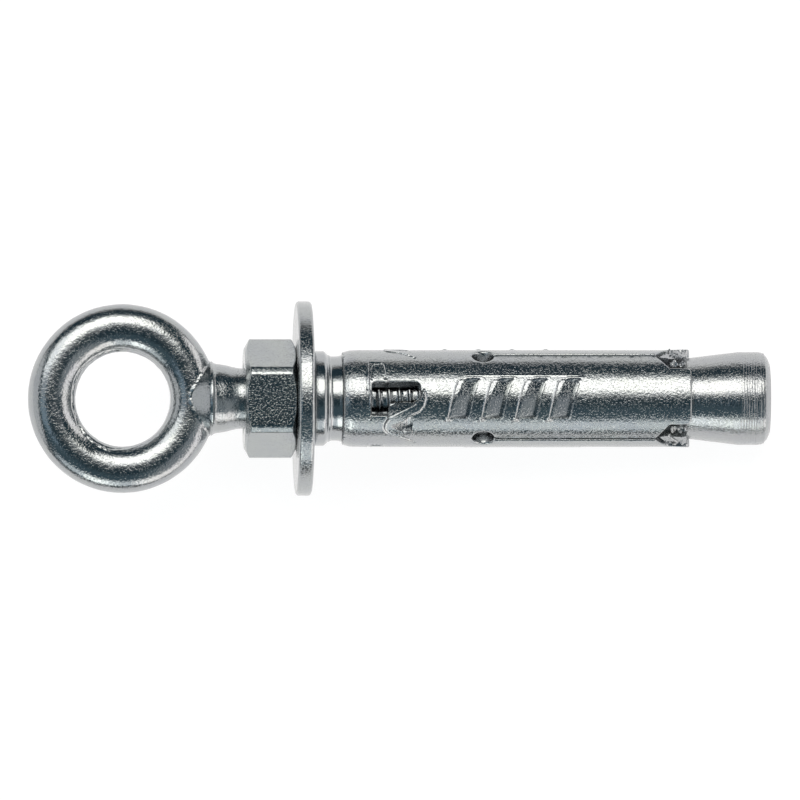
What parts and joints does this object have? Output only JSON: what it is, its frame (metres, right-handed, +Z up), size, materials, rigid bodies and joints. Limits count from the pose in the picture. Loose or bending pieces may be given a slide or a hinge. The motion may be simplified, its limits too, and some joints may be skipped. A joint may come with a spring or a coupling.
{
  "type": "eye anchor",
  "caption": "Zinc-plated sleeve anchor with a forged eye: a closed ring on a threaded bolt, with nut, washer, slit expansion sleeve and cone nut.",
  "frame": {"origin": "on the surface that the anchor lies on, under the middle of its length and width", "axes": "+X from the eye to the tip, +Y across, in the plane of the ring, +Z up; the bolt's axis runs 6.45 degrees down towards the tip, because the anchor lies on the rims of its washer and its cone nut"},
  "size_m": [0.0906, 0.0238, 0.0238],
  "materials": {
    "forged_zinc": "satin",
    "nut_zinc": "satin",
    "washer_zinc": "satin",
    "collar_zinc": "satin",
    "sleeve_zinc": "satin",
    "cone_zinc": "satin"
  },
  "bodies": {
    "bolt": {"eye_bolt": "forged_zinc"},
    "washer": {"washer": "washer_zinc"},
    "nut": {"hex_nut": "nut_zinc"},
    "collar": {"collar": "collar_zinc"},
    "sleeve": {"expansion_sleeve": "sleeve_zinc", "cone_nut": "cone_zinc"}
  },
  "joints": [
    {"name": "washer_slide", "type": "slide", "parent": "bolt", "child": "washer", "axis": [0.9937, 0, -0.1124], "range_m": [0, 0.00025]},
    {"name": "nut_turn", "type": "hinge", "parent": "washer", "child": "nut", "pos_m": [-0.01086, 0, 0.01178], "axis": [0.9937, 0, -0.1124], "range_deg": [0, 72]},
    {"name": "collar_slide", "type": "slide", "parent": "bolt", "child": "collar", "axis": [0.9937, 0, -0.1124], "range_m": [0, 0.01]},
    {"name": "sleeve_turn", "type": "hinge", "parent": "collar", "child": "sleeve", "pos_m": [-0.01086, 0, 0.01178], "axis": [0.9937, 0, -0.1124], "range_deg": [0, 2880]}
  ],
  "couplings": [
    {"joint": "nut_turn", "follows": "washer_slide", "rad_per_m": 5026.5},
    {"joint": "sleeve_turn", "follows": "collar_slide", "rad_per_m": 5026.5}
  ]
}
